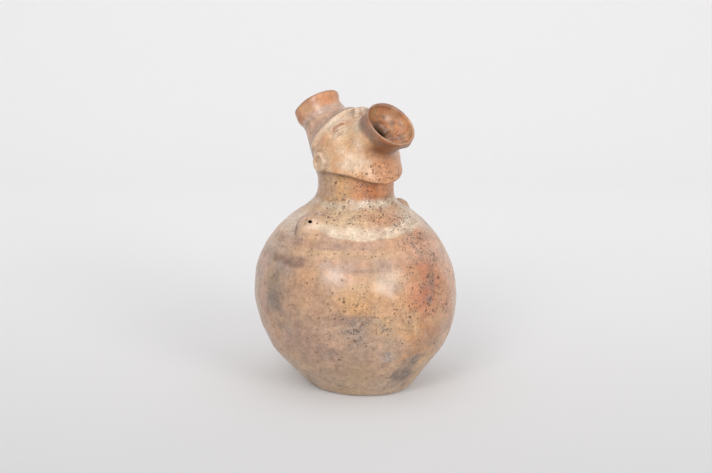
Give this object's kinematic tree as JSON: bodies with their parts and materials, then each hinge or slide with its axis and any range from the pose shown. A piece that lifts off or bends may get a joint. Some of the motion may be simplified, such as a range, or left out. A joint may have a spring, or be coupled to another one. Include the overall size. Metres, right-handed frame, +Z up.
{
  "type": "spouted figural vessel",
  "caption": "Burnished clay vessel: round hollow body on a flat base, short neck, and an effigy head tipped back whose mouth and crown are open spouts, with pierced shoulder lugs.",
  "frame": {"origin": "centre of the flat base, on the surface the vessel stands on", "axes": "+Z up through the neck; the figure's face and mouth spout point to -Y, the crown spout to +Y, the figure's right is -X"},
  "size_m": [0.15, 0.15, 0.2163],
  "materials": {
    "buff_clay": "hand-burnished buff earthenware with fire clouds and pitting, low sheen",
    "rose_clay": "hand-burnished pinkish earthenware with a cream slip band, low sheen",
    "pale_clay": "smoothed buff earthenware with worn cream slip, low sheen",
    "rim_clay": "smoothed orange-brown earthenware, darker and duller inside"
  },
  "bodies": {
    "root": {"base_disc": "buff_clay", "lower_bowl": "buff_clay", "shoulder_dome": "rose_clay", "right_lug": "pale_clay", "left_lug": "pale_clay", "neck_collar": "rose_clay", "head_shell": "buff_clay", "face_slab": "pale_clay", "brow_roll": "pale_clay", "nose": "pale_clay", "right_eye": "pale_clay", "left_eye": "pale_clay", "right_ear": "pale_clay", "left_ear": "pale_clay", "mouth_spout": "rim_clay", "crown_spout": "rim_clay"}
  },
  "joints": []
}
